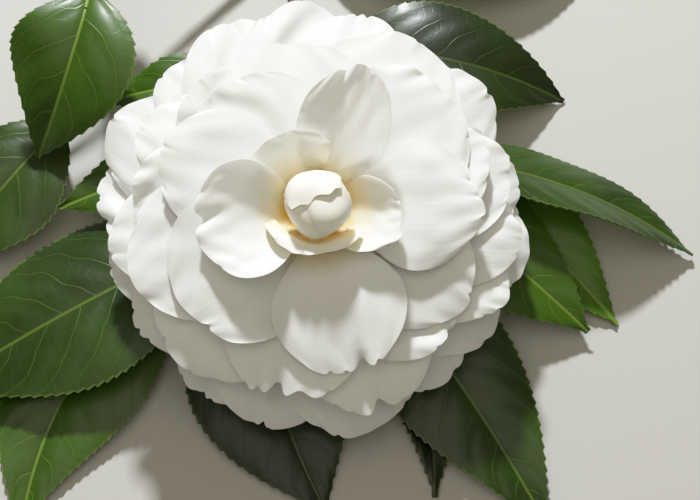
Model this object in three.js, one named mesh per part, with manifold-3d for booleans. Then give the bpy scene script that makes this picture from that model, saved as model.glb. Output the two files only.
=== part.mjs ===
// A cut branch of a garden camellia with one large white double bloom.
// It lies on the plane z = 0 with the bloom facing up and the cut end of the wood towards +Y.
// Millimetres and degrees, +Z up. The petals stand in whorls on a short receptacle.
import * as THREE from "three";
import { mergeVertices } from "three/addons/utils/BufferGeometryUtils.js";
import Module from "manifold-3d";

const wasm = await Module();
wasm.setup();

// The middle of the branch from above, at the height it rests on, which is the part's origin
const ORIGIN = [0.1, 36.4, 0.05];

// The foot of the bloom, and how far its axis leans to -Y and to +X
const BLOOM_FOOT = [0, 0, 29];
const BLOOM_LEAN = 16;
const BLOOM_LEAN_RIGHT = 3;

// Clearance between pieces that touch on the real plant
const CLEAR = 0.3;

// How far a surface may move when its needless facets are dropped
const FINENESS = 0.07;

// Thickness of the blades
const PETAL_THICK = 0.9;
const LEAF_THICK = 0.9;
const SEPAL_THICK = 1.0;

// How finely a blade is divided, across and along
const PETAL_GRID = [6, 4];
const LEAF_GRID = [2, 16];
const SEPAL_GRID = [4, 2];
const BUD_GRID = [4, 3];

// Where a petal is widest, as a share of its length, and its claw's share of the full width
const PETAL_WIDEST = 0.6;
const PETAL_CLAW = 0.2;

// How near to its rim a petal begins to curl, as a share of the way out
const CURL_FROM = 0.45;

// The whorls, from the outermost in. foot is where the petals leave the receptacle,
// as [radius, height]. height is the tip's, launch and end are the slopes at the foot
// and at the tip, and cup tells how a petal hollows. Each petal is [azimuth, reach, width]
// and may carry its own values for the fields of its whorl, and also a notch in its rim
// as [place across, depth], the claw's share of its width, and how far its rim curls out.
const WHORLS = [
  {
    name: "petals_outermost",
    foot: [6.0, 0.6],
    height: 0,
    launch: 14,
    end: -26,
    cup: -0.1,
    petals: [
      [11, 53.3, 34],
      [-10, 55.8, 36],
      [-33, 54.6, 33],
      [-51, 53.9, 34],
      [-77, 57, 38],
      [-103, 55.5, 37],
      [-122, 53.5, 36],
      [-166, 53.5, 36],
      [144, 51.5, 34],
      [67, 50, 36],
    ],
  },
  {
    name: "petals_second",
    foot: [6.2, 2.4],
    height: 5,
    launch: 24,
    end: -19,
    cup: -0.1,
    petals: [
      [35, 53.6, 36],
      [75, 52.3, 35],
      [95, 53.8, 36],
      [117, 53.9, 35],
      [136, 51.5, 31],
      [158, 56, 32],
      [176, 54.7, 33],
      [-145, 52.4, 34],
    ],
  },
  {
    name: "petals_third",
    foot: [6.2, 4.4],
    height: 11.5,
    launch: 34,
    end: -8,
    cup: 0,
    petals: [
      [57, 49.7, 40],
      [13, 50, 32],
      [-8, 52, 29],
      [-23, 52, 29],
      [-70, 52.1, 36, { notch: [-0.1, 2] }],
      [-131, 50.2, 38],
      [-170, 51, 30],
      [154, 47.6, 32],
    ],
  },
  {
    name: "petals_fourth",
    foot: [5.8, 6.6],
    height: 15.5,
    launch: 46,
    end: -3,
    cup: 0,
    petals: [
      [101, 41.6, 38],
      [41, 43.9, 38],
      [20, 44.6, 32],
      [-31, 43.5, 31],
      [-47, 45.2, 33],
      [-100, 48, 35, { notch: [-0.15, 3] }],
      [-161, 47.6, 36],
      [174, 44.9, 32],
      [132, 42.6, 34],
    ],
  },
  {
    name: "petals_fifth",
    foot: [5.0, 9.0],
    height: 18.5,
    launch: 58,
    end: -4,
    cup: 0.05,
    petals: [
      [2, 40, 32],
      [-77, 40.8, 33, { notch: [0.2, 2] }],
      [-142, 40, 38],
      [159, 39.8, 31],
      [131, 37.5, 36],
    ],
  },
  {
    name: "petals_inner",
    foot: [3.8, 11.4],
    height: 24,
    launch: 68,
    end: 5,
    cup: 0.3,
    petals: [
      [-168, 29.3, 31, { height: 23, cup: 0.5, notch: [-0.2, 1.2] }],
      [132, 18.8, 28, { height: 27, launch: 60, end: 62, cup: 0.4, curl: 0.8 }],
      [71.5, 34, 23.5, { height: 30, end: 30 }],
    ],
  },
  {
    name: "petals_heart",
    foot: [2.6, 14.0],
    height: 27,
    launch: 30,
    end: 60,
    cup: 0.4,
    petals: [
      [-96, 9.4, 22.5, { height: 27.5, launch: 10, end: 86, cup: -0.3, claw: 0.5, curl: 2.6 }],
      [-9, 20.3, 21, { height: 25, launch: 22, end: 40, claw: 0.7, notch: [-0.65, -2] }],
    ],
  },
];

// The bud at the heart: its foot, middle and half sizes, how square its shoulders are, and
// the petals wrapped round it. Each climbs from low on one side of the bud over its top,
// as [azimuth, half its spread, where it begins and ends on its way over, distance out from the bud].
const BUD_FOOT = 15.6;
const BUD_MIDDLE = 25;
const BUD_RADIUS = 7.0;
const BUD_HALF_HEIGHT = 5.2;
const BUD_FLATNESS = 3;
const BUD_WRAPS = [
  [20, 62, -50, 95, 0.1],
  [-140, 62, -50, 100, 0.35],
  [-42, 56, -55, 108, 0.7],
  [98, 80, -40, 90, 1.05],
];

// The calyx: a core under the receptacle and a ring of sepals
const CALYX_BOTTOM = -6.5;
const CALYX_RADIUS = 3.6;
const SEPALS = 5;
const SEPAL = { foot: [2.2, -5.0], reach: 13.5, height: -3.0, launch: 0, end: 22, width: 15, cup: 0.2 };

// The wood: the main twig and its side shoots.
// Each is told by the points of its path and its radii at start and end.
const WOOD = [
  {
    path: [
      [-0.45, 2.1, 22.2],
      [-0.8, 4.5, 15],
      [-1.5, 13, 8],
      [-2.5, 30, 4],
      [-6, 70, 2.6],
      [-16, 148, 2.3],
    ],
    radii: [1.5, 2.3],
  },
  {
    path: [
      [-10, 95, 2.6],
      [-28, 92, 16],
      [-48, 84, 29],
      [-62, 70, 33],
      [-70, 52, 22],
      [-72, 40, 13],
    ],
    radii: [1.6, 1.0],
  },
  {
    path: [[-1.3, 11, 9.2], [-12, 8, 8.5], [-24, 1, 8]],
    radii: [1.3, 0.9],
  },
  {
    path: [[-2.6, 32, 3.9], [10, 34, 8.5], [25, 30, 10]],
    radii: [1.3, 0.9],
  },
];

// The leaves. Each is told by where its stalk leaves the wood (stem), where its blade
// begins (foot) and ends (tip), its width, how far its middle rises above a straight line
// and bows to its left, and its roll about its own length.
const LEAVES = [
  ["leaf_far_left", [-50, 85, 30], [-53, 93, 33], [-66, 65, 16], 26, 13, 0, 0],
  ["leaf_upper_left", [-60, 71, 33], [-60, 61, 35], [-75, 22.5, 14], 34, 8, 3, 0],
  ["leaf_middle_left", [-72, 40, 13], [-70, 34, 10], [-102, -6, 0.5], 32, 5, 0, 0],
  ["leaf_large_left", [-17, 5, 8.4], [-26, 0, 12.5], [-102, -40, 0.5], 45, 5, 0, -10],
  ["leaf_lower_left", [-24, 0, 8], [-35, -6, 4.6], [-75, -75, 0.5], 37, 1.5, -9, 0],
  ["leaf_behind_left", [-2.5, 26, 5], [-14, 27, 15], [-69, 9, 11], 24, 3, 0, 0],
  ["leaf_small_left", [-3, 38, 4.5], [-14, 42, 19], [-57, 37, 18], 18, 5, 0, 0],
  ["leaf_bottom", [-12, 9, 8], [-19, -4, 6], [3, -71, 0.5], 44, 1, -3, 0],
  ["leaf_large_right", [0, 6, 13], [9, 1, 8], [60, -75, 0.5], 36, 2, 2, 0],
  ["leaf_small_bottom", [0, 9, 10], [10, -2, 4], [31, -67, 0.5], 18, 0, 6, 0],
  ["leaf_right", [20, 31, 10], [19, 20, 14], [72.5, -23.5, 4], 32, 4, 0, 0],
  ["leaf_behind_right", [25, 30, 10], [34, 32, 9], [81, -20.5, 0.5], 26, 2, 0, 0],
  ["leaf_long_right", [23, 30.5, 10], [30, 20, 18.5], [102.5, -1, 2], 24, 5, 4, 35],
  ["leaf_upper_right", [-4, 55, 4.5], [4, 58, 8], [70, 46, 0.5], 34, 10, 0, 0],
  ["leaf_far_right", [-8, 88, 4.5], [0, 94, 8], [82, 88, 0.5], 33, 9, 0, 0],
].map(([name, stem, foot, tip, width, rise, bow, roll]) => {
  return { name, stem, foot, tip, width, rise, bow, roll };
});

// Where a leaf is widest, as a share of its length, the teeth along each side, and how far they stand out
const LEAF_WIDEST = 0.45;
const LEAF_TEETH = 8;
const LEAF_TOOTH = 0.9;
const STALK_RADIUS = 1.0;

const radians = THREE.MathUtils.degToRad;
const smooth = THREE.MathUtils.smoothstep;
const UP = new THREE.Vector3(0, 0, 1);
const vector = (list) => new THREE.Vector3(...list);

// Solids

// A closed geometry as a solid of the boolean library.
function solidOf(geometry) {
  const bare = new THREE.BufferGeometry();
  bare.setAttribute("position", geometry.getAttribute("position"));
  bare.setIndex(geometry.getIndex());
  const merged = mergeVertices(bare, 1e-4);
  const mesh = new wasm.Mesh({
    numProp: 3,
    vertProperties: new Float32Array(merged.attributes.position.array),
    triVerts: new Uint32Array(merged.index.array),
  });
  const solid = new wasm.Manifold(mesh);
  if (solid.volume() > 0) return solid;
  mesh.triVerts.reverse();
  return new wasm.Manifold(mesh);
}

// A solid of the boolean library as a geometry.
function geometryOf(solid) {
  const mesh = solid.getMesh();
  const geometry = new THREE.BufferGeometry();
  geometry.setAttribute("position", new THREE.BufferAttribute(mesh.vertProperties, 3));
  geometry.setIndex(new THREE.BufferAttribute(mesh.triVerts, 1));
  geometry.computeVertexNormals();
  return geometry;
}

// The largest of the bodies that a cut leaves, without its needless small facets.
function largest(solid) {
  return solid.simplify(FINENESS).decompose().sort((a, b) => b.volume() - a.volume())[0];
}

// The points of a surface, row by row. u runs from -1 to 1 across it and v from 0 to 1 along it.
function gridOf(surface, [across, along]) {
  const points = [];
  for (let j = 0; j <= along; j += 1) {
    for (let i = 0; i <= across; i += 1) points.push(surface((2 * i) / across - 1, j / along));
  }
  return { points, across, along };
}

// A closed blade of even thickness about the points of a grid. grow widens it on every side.
function blade({ points, across, along }, thick, grow = 0) {
  const columns = across + 1;
  const rows = along + 1;
  const within = (k, last) => Math.min(Math.max(k, 0), last);
  const at = (i, j) => points[within(j, along) * columns + within(i, across)];
  const top = [];
  const bottom = [];
  for (let j = 0; j < rows; j += 1) {
    for (let i = 0; i < columns; i += 1) {
      const sideways = at(i + 1, j).clone().sub(at(i - 1, j));
      const onward = at(i, j + 1).clone().sub(at(i, j - 1));
      const normal = sideways.clone().cross(onward).normalize();
      const middle = at(i, j).clone();
      if (i === 0) middle.addScaledVector(sideways.normalize(), -grow);
      if (i === across) middle.addScaledVector(sideways.normalize(), grow);
      if (j === 0) middle.addScaledVector(onward.normalize(), -grow);
      if (j === along) middle.addScaledVector(onward.normalize(), grow);
      top.push(middle.clone().addScaledVector(normal, thick / 2 + grow));
      bottom.push(middle.clone().addScaledVector(normal, -thick / 2 - grow));
    }
  }
  const index = [];
  const under = top.length;
  const id = (i, j) => j * columns + i;
  for (let j = 0; j < along; j += 1) {
    for (let i = 0; i < across; i += 1) {
      const [a, b, c, d] = [id(i, j), id(i + 1, j), id(i + 1, j + 1), id(i, j + 1)];
      index.push(a, b, c, a, c, d);
      index.push(under + a, under + c, under + b, under + a, under + d, under + c);
    }
  }
  const rim = [];
  for (let i = 0; i < across; i += 1) rim.push(id(i, 0));
  for (let j = 0; j < along; j += 1) rim.push(id(across, j));
  for (let i = across; i > 0; i -= 1) rim.push(id(i, along));
  for (let j = along; j > 0; j -= 1) rim.push(id(0, j));
  rim.forEach((a, k) => {
    const b = rim[(k + 1) % rim.length];
    index.push(a, under + a, under + b, a, under + b, b);
  });
  const geometry = new THREE.BufferGeometry().setFromPoints([...top, ...bottom]);
  geometry.setIndex(index);
  return solidOf(geometry);
}

// A limb: a cylinder bent along a curve, with its radius told by the share of the way along it.
function limb(curve, radiusAt, sides, steps, grow = 0) {
  const cylinder = new THREE.CylinderGeometry(1, 1, 1, sides, steps);
  const position = cylinder.attributes.position;
  const frames = curve.computeFrenetFrames(steps, false);
  for (let i = 0; i < position.count; i += 1) {
    const share = 0.5 - position.getY(i);
    const ring = Math.round(share * steps);
    const radius = radiusAt(share) + grow;
    const at = curve.getPointAt(share);
    if (ring === 0) at.addScaledVector(frames.tangents[0], -grow);
    if (ring === steps) at.addScaledVector(frames.tangents[steps], grow);
    at.addScaledVector(frames.normals[ring], position.getX(i) * radius);
    at.addScaledVector(frames.binormals[ring], position.getZ(i) * radius);
    position.setXYZ(i, at.x, at.y, at.z);
  }
  return solidOf(cylinder);
}

// A round disc on the bloom's axis.
function disc(radius, low, high) {
  const cylinder = new THREE.CylinderGeometry(radius, radius, high - low, 20);
  cylinder.rotateX(Math.PI / 2);
  cylinder.translate(0, 0, (low + high) / 2);
  return solidOf(cylinder);
}

// The bloom, in its own frame: z along its axis, x to the right and y to the top

// The middle surface of one petal or sepal.
function petalSurface(petal) {
  const { azimuth, reach, width, foot, height, launch, end, cup } = petal;
  const { notch = [0, 0], claw = PETAL_CLAW, curl = 0 } = petal;
  const away = new THREE.Vector3(Math.cos(radians(azimuth)), Math.sin(radians(azimuth)), 0);
  const sideways = new THREE.Vector3(-away.y, away.x, 0);
  const start = new THREE.Vector2(foot[0], foot[1]);
  const finish = new THREE.Vector2(reach, height);
  const handle = 0.4 * start.distanceTo(finish);
  const leaving = new THREE.Vector2(Math.cos(radians(launch)), Math.sin(radians(launch)));
  const arriving = new THREE.Vector2(Math.cos(radians(end)), Math.sin(radians(end)));
  const midline = new THREE.CubicBezierCurve(
    start,
    start.clone().addScaledVector(leaving, handle),
    finish.clone().addScaledVector(arriving, -handle),
    finish,
  );
  return (u, v) => {
    let across = u * (width / 2);
    let share;
    if (v > 0.5) {
      const q = 2 * v - 1;
      const dip = (notch[1] / reach) * Math.exp(-(((u - notch[0]) / 0.25) ** 2)) * q ** 3;
      across *= Math.sqrt(1 - (q * q) / 2);
      share = PETAL_WIDEST + (1 - PETAL_WIDEST) * q * Math.sqrt(1 - (u * u) / 2) - dip;
    } else {
      const q = 1 - 2 * v;
      across *= claw + (1 - claw) * (0.5 + 0.5 * Math.cos(Math.PI * q));
      share = PETAL_WIDEST * (1 - q);
    }
    const on = midline.getPoint(share);
    const way = midline.getTangent(share);
    const bend = way.y / Math.max(on.x, 9) + (2 * cup) / width;
    const turn = across * bend;
    const flat = Math.abs(bend) < 1e-4;
    const beside = flat ? across : Math.sin(turn) / bend;
    const lift = flat ? 0 : (1 - Math.cos(turn)) / bend;
    const point = away.clone().multiplyScalar(on.x - way.y * lift);
    point.addScaledVector(sideways, beside);
    point.z = on.y + way.x * lift;
    const normal = UP.clone().multiplyScalar(way.x).addScaledVector(away, -way.y);
    normal.multiplyScalar(Math.cos(turn)).addScaledVector(sideways, -Math.sin(turn));
    const edge = Math.max(2 * v - 1, Math.abs(u) * Math.min(4 * v - 1, 1), CURL_FROM);
    return point.addScaledVector(normal, -curl * ((edge - CURL_FROM) / (1 - CURL_FROM)) ** 2);
  };
}

// Sinks the points of a grid, down the axis, until they lie under the sheets already laid.
function settle(grid, laid, gap) {
  const { points, across, along } = grid;
  const columns = across + 1;
  const ray = new THREE.Raycaster();
  const deep = 100;
  const sinks = points.map((point) => {
    ray.set(new THREE.Vector3(point.x, point.y, -deep), UP);
    const hit = ray.intersectObjects(laid, false)[0];
    const over = hit ? point.z + gap - (hit.distance - deep) : 0;
    return Math.max(0, over) * smooth(Math.hypot(point.x, point.y), 7, 14);
  });
  // The sink spreads to the neighbours, so that the sheet stays even
  const near = (list, k, combine) => {
    const [i, j] = [k % columns, Math.floor(k / columns)];
    const around = [];
    for (let b = Math.max(j - 1, 0); b <= Math.min(j + 1, along); b += 1) {
      for (let a = Math.max(i - 1, 0); a <= Math.min(i + 1, across); a += 1) {
        around.push(list[b * columns + a]);
      }
    }
    return combine(around);
  };
  const widened = sinks.map((_, k) => near(sinks, k, (list) => Math.max(...list)));
  widened.forEach((_, k) => {
    points[k].z -= near(widened, k, (list) => list.reduce((a, b) => a + b) / list.length);
  });
  return grid;
}

// A bare sheet through the points of a grid, for the settling of later ones.
function sheetOf({ points, across, along }) {
  const geometry = new THREE.BufferGeometry().setFromPoints(points);
  const index = [];
  for (let j = 0; j < along; j += 1) {
    for (let i = 0; i < across; i += 1) {
      const a = j * (across + 1) + i;
      index.push(a, a + 1, a + across + 2, a, a + across + 2, a + across + 1);
    }
  }
  geometry.setIndex(index);
  return new THREE.Mesh(geometry, new THREE.MeshBasicMaterial({ side: THREE.DoubleSide }));
}

// One wrapped petal of the bud, hugging a flattened ovoid.
function wrapSurface([azimuth, half, low, high, out]) {
  const away = new THREE.Vector3(Math.cos(radians(azimuth)), Math.sin(radians(azimuth)), 0);
  const sideways = new THREE.Vector3(-away.y, away.x, 0);
  return (u, v) => {
    const climb = radians(low + (high - low - 10 * u * u) * v);
    const outline = Math.sin(Math.PI * (0.2 + 0.62 * v)) ** 0.5;
    const aside = radians(half * u * outline);
    const onward = Math.cos(aside) * Math.cos(climb);
    const beside = Math.sin(aside);
    const up = Math.cos(aside) * Math.sin(climb);
    const level = Math.hypot(onward, beside);
    const square = (level ** BUD_FLATNESS + Math.abs(up) ** BUD_FLATNESS) ** (-1 / BUD_FLATNESS);
    const ring = (BUD_RADIUS + out) * square;
    const point = away.clone().multiplyScalar(ring * onward);
    point.addScaledVector(sideways, ring * beside);
    point.z = BUD_MIDDLE + (BUD_HALF_HEIGHT + out) * square * up;
    return point;
  };
}

// The bud: an ovoid on a neck, with the petals wrapped round it.
function budSolid(grow) {
  const ovoid = new THREE.SphereGeometry(1, 12, 8);
  ovoid.rotateX(Math.PI / 2);
  ovoid.scale(BUD_RADIUS + grow, BUD_RADIUS + grow, BUD_HALF_HEIGHT + grow);
  ovoid.translate(0, 0, BUD_MIDDLE);
  let bud = solidOf(ovoid).add(disc(2.6 + grow, BUD_FOOT - grow, BUD_MIDDLE));
  for (const wrap of BUD_WRAPS) {
    bud = bud.add(blade(gridOf(wrapSurface(wrap), BUD_GRID), PETAL_THICK, grow));
  }
  return bud;
}

// Every piece of the bloom, from the heart out, each cut clear of those before it.
function bloomPieces() {
  const pieces = [{ name: "bloom_bud", solid: largest(budSolid(0)) }];
  let taken = budSolid(CLEAR);
  const laid = [];
  for (let k = WHORLS.length - 1; k >= 0; k -= 1) {
    const whorl = WHORLS[k];
    const ceiling = k + 1 < WHORLS.length ? WHORLS[k + 1].foot[1] - 0.8 : BUD_FOOT;
    const floor = whorl.foot[1] - 0.8;
    let solid = disc(whorl.foot[0] + 0.6, floor, ceiling - CLEAR);
    let grown = disc(whorl.foot[0] + 0.6 + CLEAR, floor - CLEAR, ceiling);
    for (const [azimuth, reach, width, own = {}] of whorl.petals) {
      const surface = petalSurface({ ...whorl, ...own, azimuth, reach, width });
      const grid = settle(gridOf(surface, PETAL_GRID), laid, PETAL_THICK + CLEAR);
      laid.push(sheetOf(grid));
      solid = solid.add(blade(grid, PETAL_THICK));
      grown = grown.add(blade(grid, PETAL_THICK, CLEAR));
    }
    pieces.push({ name: whorl.name, solid: largest(solid.subtract(taken)) });
    taken = taken.add(grown);
  }
  let calyx = disc(CALYX_RADIUS, CALYX_BOTTOM, WHORLS[0].foot[1] - 0.8 - CLEAR);
  for (let k = 0; k < SEPALS; k += 1) {
    const surface = petalSurface({ ...SEPAL, azimuth: (360 * k) / SEPALS + 20 });
    calyx = calyx.add(blade(gridOf(surface, SEPAL_GRID), SEPAL_THICK));
  }
  pieces.push({ name: "calyx", solid: largest(calyx.subtract(taken)) });
  return pieces;
}

// The wood

function woodSolid(grow) {
  const twigs = WOOD.map(({ path, radii: [start, end] }) => {
    const curve = new THREE.CatmullRomCurve3(path.map(vector));
    return limb(curve, (share) => start + (end - start) * share, 7, 3 * path.length, grow);
  });
  return twigs.reduce((whole, twig) => whole.add(twig));
}

// The leaves

// The midline of a leaf, as a curve in space.
function leafMidline({ foot, tip, rise, bow }) {
  const [start, finish] = [vector(foot), vector(tip)];
  const left = UP.clone().cross(finish.clone().sub(start)).normalize();
  const middle = start.clone().add(finish).multiplyScalar(0.5).addScaledVector(UP, 2 * rise);
  return new THREE.QuadraticBezierCurve3(start, middle.addScaledVector(left, 2 * bow), finish);
}

// The middle surface of a leaf: egg-shaped with a drawn-out tip, folded along its midrib and toothed.
function leafSurface(leaf) {
  const midline = leafMidline(leaf);
  return (u, v) => {
    const on = midline.getPoint(v);
    const way = midline.getTangent(v);
    const level = way.clone().cross(UP).normalize();
    const facing = level.clone().cross(way);
    const roll = radians(leaf.roll);
    const sideways = level.clone().multiplyScalar(Math.cos(roll)).addScaledVector(facing, Math.sin(roll));
    const normal = facing.clone().multiplyScalar(Math.cos(roll)).addScaledVector(level, -Math.sin(roll));
    const before = Math.sin((Math.PI / 2) * Math.min(v / LEAF_WIDEST, 1)) ** 0.75;
    const beyond = Math.cos((Math.PI / 2) * Math.max((v - LEAF_WIDEST) / (1 - LEAF_WIDEST), 0)) ** 1.1;
    const tooth = LEAF_TOOTH * ((v * LEAF_TEETH) % 1) * Math.abs(u) ** 3;
    const half = Math.max(0.7, (leaf.width / 2) * before * beyond + tooth);
    const across = u * half;
    const lift = 0.2 * Math.abs(across) - 0.012 * across * across;
    const point = on.addScaledVector(sideways, across).addScaledVector(normal, lift);
    point.z = Math.max(point.z, LEAF_THICK / 2);
    return point;
  };
}

// A leaf with its stalk.
function leafSolid(leaf) {
  const start = vector(leaf.stem);
  const foot = vector(leaf.foot);
  const inside = leafMidline(leaf).getPoint(0.12);
  const curve = new THREE.QuadraticBezierCurve3(start, foot, inside);
  const stalk = limb(curve, (share) => STALK_RADIUS * (1 - 0.5 * share), 5, 3);
  return blade(gridOf(leafSurface(leaf), LEAF_GRID), LEAF_THICK).add(stalk);
}

// The finishes
const petalWhite = { color: "#f4f3ea", roughness: 0.55, metalness: 0 };
const budCream = { color: "#f3eed8", roughness: 0.55, metalness: 0 };
const leafGreen = { color: "#2c4a1e", roughness: 0.35, metalness: 0 };
const sepalOlive = { color: "#6f7a3c", roughness: 0.6, metalness: 0 };
const barkBrown = { color: "#6b5238", roughness: 0.8, metalness: 0 };

// One piece of the plant as a mesh with its own material.
function piece(name, solid, finish) {
  const mesh = new THREE.Mesh(geometryOf(solid), new THREE.MeshStandardMaterial(finish));
  mesh.name = name;
  return mesh;
}

// The bloom, leaning on its foot
const bloom = new THREE.Group();
bloom.name = "bloom";
bloom.position.set(...BLOOM_FOOT);
bloom.rotation.set(radians(BLOOM_LEAN), radians(BLOOM_LEAN_RIGHT), 0);
const finishes = { bloom_bud: budCream, calyx: sepalOlive };
for (const { name, solid } of bloomPieces()) {
  bloom.add(piece(name, solid, finishes[name] ?? petalWhite));
}

// The leaves, cut clear of the wood
const leaves = new THREE.Group();
leaves.name = "leaves";
const woodRoom = woodSolid(CLEAR);
for (const leaf of LEAVES) {
  leaves.add(piece(leaf.name, largest(leafSolid(leaf).subtract(woodRoom)), leafGreen));
}

// The whole branch
const spray = new THREE.Group();
spray.name = "spray";
spray.position.set(...ORIGIN).negate();
spray.add(bloom, piece("twig_wood", woodSolid(0), barkBrown), leaves);
const branch = new THREE.Group();
branch.name = "camellia_branch";
branch.add(spray);

export default branch;
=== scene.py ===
"""The looks of a cut camellia branch with one large white double bloom.

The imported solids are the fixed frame. Petals, bud, calyx, leaves and wood are made again here
by the same rules at a finer grain, in millimetres, and put in place in metres.
"""

import logging
import math
import random
from collections.abc import Callable, Iterator
from contextlib import contextmanager
from dataclasses import dataclass, field
from enum import Enum
from functools import partial

import bpy
import numpy as np
from mathutils import Euler, Matrix, Vector, noise
from mathutils.bvhtree import BVHTree

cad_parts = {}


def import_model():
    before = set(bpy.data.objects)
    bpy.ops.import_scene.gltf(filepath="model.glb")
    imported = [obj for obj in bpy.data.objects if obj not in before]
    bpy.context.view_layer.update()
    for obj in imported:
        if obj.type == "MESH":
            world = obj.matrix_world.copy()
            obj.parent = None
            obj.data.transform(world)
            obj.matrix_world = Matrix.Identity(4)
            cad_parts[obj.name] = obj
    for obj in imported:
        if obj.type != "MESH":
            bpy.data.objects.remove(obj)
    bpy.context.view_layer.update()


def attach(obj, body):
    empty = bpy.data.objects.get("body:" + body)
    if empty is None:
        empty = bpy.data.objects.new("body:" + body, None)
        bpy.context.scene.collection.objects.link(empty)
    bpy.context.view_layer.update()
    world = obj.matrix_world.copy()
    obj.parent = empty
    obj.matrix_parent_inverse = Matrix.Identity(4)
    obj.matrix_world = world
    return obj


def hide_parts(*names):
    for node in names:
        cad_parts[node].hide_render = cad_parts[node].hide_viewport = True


log = logging.getLogger("camellia")

MM = 0.001
SEED = 11

# The middle of the branch from above, at the height it rests on, which is the frame's origin
ORIGIN = np.array([0.1, 36.4, 0.05])
UP = np.array([0.0, 0.0, 1.0])

# A phase is drawn from a little more than one full turn
TURN = 6.3
# The thickness of a petal's rim as a share of its full thickness
THIN_RIM = 0.3
# The angle in degrees past which an edge stays sharp
SHARP = 50
# The attribute that finishes read: across, along and nearness to the rim
GRAIN = "blade"

# A leaf's side veins: their spacing, their slope and how far they turn to the tip, in millimetres
VEIN_PITCH = 10.5
VEIN_SLOPE = 0.78
VEIN_TURN = 9.0

Point = tuple[float, float, float]


# Small tools


def linear(code: str) -> tuple[float, float, float, float]:
    """Turns an sRGB hex colour into a linear one.

    Args:
        code: The colour as "#rrggbb".

    Returns:
        Red, green, blue and alpha.
    """
    parts = [int(code[k : k + 2], 16) / 255 for k in (1, 3, 5)]
    red, green, blue = (c / 12.92 if c <= 0.04045 else ((c + 0.055) / 1.055) ** 2.4 for c in parts)
    return red, green, blue, 1.0


def feed(node: bpy.types.Node, links: dict[int | str, bpy.types.NodeSocket]) -> None:
    """Links outputs of other nodes to a node's inputs.

    Args:
        node: The node.
        links: The output for each input.
    """
    for key, socket in links.items():
        node.id_data.links.new(socket, node.inputs[key])


def add_node(
    tree: bpy.types.NodeTree,
    kind: str,
    settings: dict[str, object] | None = None,
    values: dict[int | str, object] | None = None,
    links: dict[int | str, bpy.types.NodeSocket] | None = None,
) -> bpy.types.Node:
    """Adds one shader node with its settings and its inputs.

    Args:
        tree: The node tree that gets the node.
        kind: The node's type, such as Math.
        settings: Its properties by name.
        values: Fixed values of its inputs.
        links: Outputs that feed its inputs.

    Returns:
        The node.
    """
    made = tree.nodes.new(f"ShaderNode{kind}")
    for name, value in (settings or {}).items():
        setattr(made, name, value)
    for key, value in (values or {}).items():
        made.inputs[key].default_value = value
    feed(made, links or {})
    return made


def start_finish(
    name: str, values: dict[str, object]
) -> tuple[bpy.types.Material, Callable[..., bpy.types.Node], bpy.types.Node]:
    """Starts a finish.

    Args:
        name: The material's name.
        values: Fixed values of its shader's inputs.

    Returns:
        The material, the function that adds a node to it, and its shader.
    """
    made = bpy.data.materials.new(name)
    made.use_nodes = True
    shader = made.node_tree.nodes["Principled BSDF"]
    for key, value in values.items():
        shader.inputs[key].default_value = value
    return made, partial(add_node, made.node_tree), shader


def colour_stops(ramp_node: bpy.types.Node, stops: list[tuple[float, str]]) -> None:
    """Sets the stops of a colour ramp.

    Args:
        ramp_node: The ramp.
        stops: Position and sRGB hex colour of each stop, in order.
    """
    elements = ramp_node.color_ramp.elements
    while len(elements) > 1:
        elements.remove(elements[-1])
    elements[0].position, elements[0].color = stops[0][0], linear(stops[0][1])
    for position, code in stops[1:]:
        elements.new(position).color = linear(code)


def pick(*pieces: bpy.types.Object) -> None:
    """Selects these pieces and no others.

    Args:
        pieces: The pieces, the first of which becomes the active one.
    """
    bpy.ops.object.select_all(action="DESELECT")
    for piece in pieces:
        piece.select_set(True)
    if pieces:
        bpy.context.view_layer.objects.active = pieces[0]


@contextmanager
def shaping() -> Iterator[None]:
    """Edit mode on the active piece, with all of it selected.

    Returns:
        What a with statement takes.
    """
    bpy.ops.object.mode_set(mode="EDIT")
    bpy.ops.mesh.select_all(action="SELECT")
    yield
    bpy.ops.object.mode_set(mode="OBJECT")


def draw_points(
    piece: bpy.types.Object, points: np.ndarray, marks: np.ndarray | None = None
) -> None:
    """Draws a piece's points into place and gives it the attribute that finishes read.

    Args:
        piece: The piece.
        points: Its points in millimetres in the branch's frame.
        marks: The attribute at each point, for a piece that has a grain.
    """
    placed = (points - ORIGIN) * MM
    piece.data.vertices.foreach_set("co", placed.astype(np.float32).ravel())
    attribute = piece.data.attributes.new(GRAIN, "FLOAT_VECTOR", "POINT")
    if marks is not None:
        attribute.data.foreach_set("vector", marks.astype(np.float32).ravel())
    piece.data.update()


def joined(parts: list[bpy.types.Object], name: str, sharp: float = SHARP) -> bpy.types.Object:
    """Joins parts into one piece with soft shading.

    Args:
        parts: The parts, the first of which keeps its material slots in front.
        name: The piece's name.
        sharp: The angle in degrees past which its edges stay sharp.

    Returns:
        The piece.
    """
    pick(*parts)
    if len(parts) > 1:
        bpy.ops.object.join()
    piece = bpy.context.view_layer.objects.active
    piece.name = piece.data.name = name
    pick(piece)
    bpy.ops.object.shade_smooth_by_angle(angle=math.radians(sharp))
    return piece


def settle_in_frame(piece: bpy.types.Object) -> None:
    """Puts a piece's place into its mesh, so that its object sits at the origin, unturned."""
    pick(piece)
    bpy.ops.object.transform_apply(location=True, rotation=True, scale=True)


def hand_over(piece: bpy.types.Object, node: str) -> None:
    """Lets a finished piece stand for its solid in the frame.

    Args:
        piece: The piece, in place.
        node: The solid's node.
    """
    settle_in_frame(piece)
    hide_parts(node)
    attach(piece, "root")
    log.info("%s stands for %s with %d faces", piece.name, node, len(piece.data.polygons))


def hump(values: np.ndarray, middle: float, width: float) -> np.ndarray:
    """A smooth hump of height one.

    Args:
        values: Where it is wanted.
        middle: Where it is highest.
        width: How wide it is.

    Returns:
        Its height at each value.
    """
    return np.exp(-(((values - middle) / width) ** 2))


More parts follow.
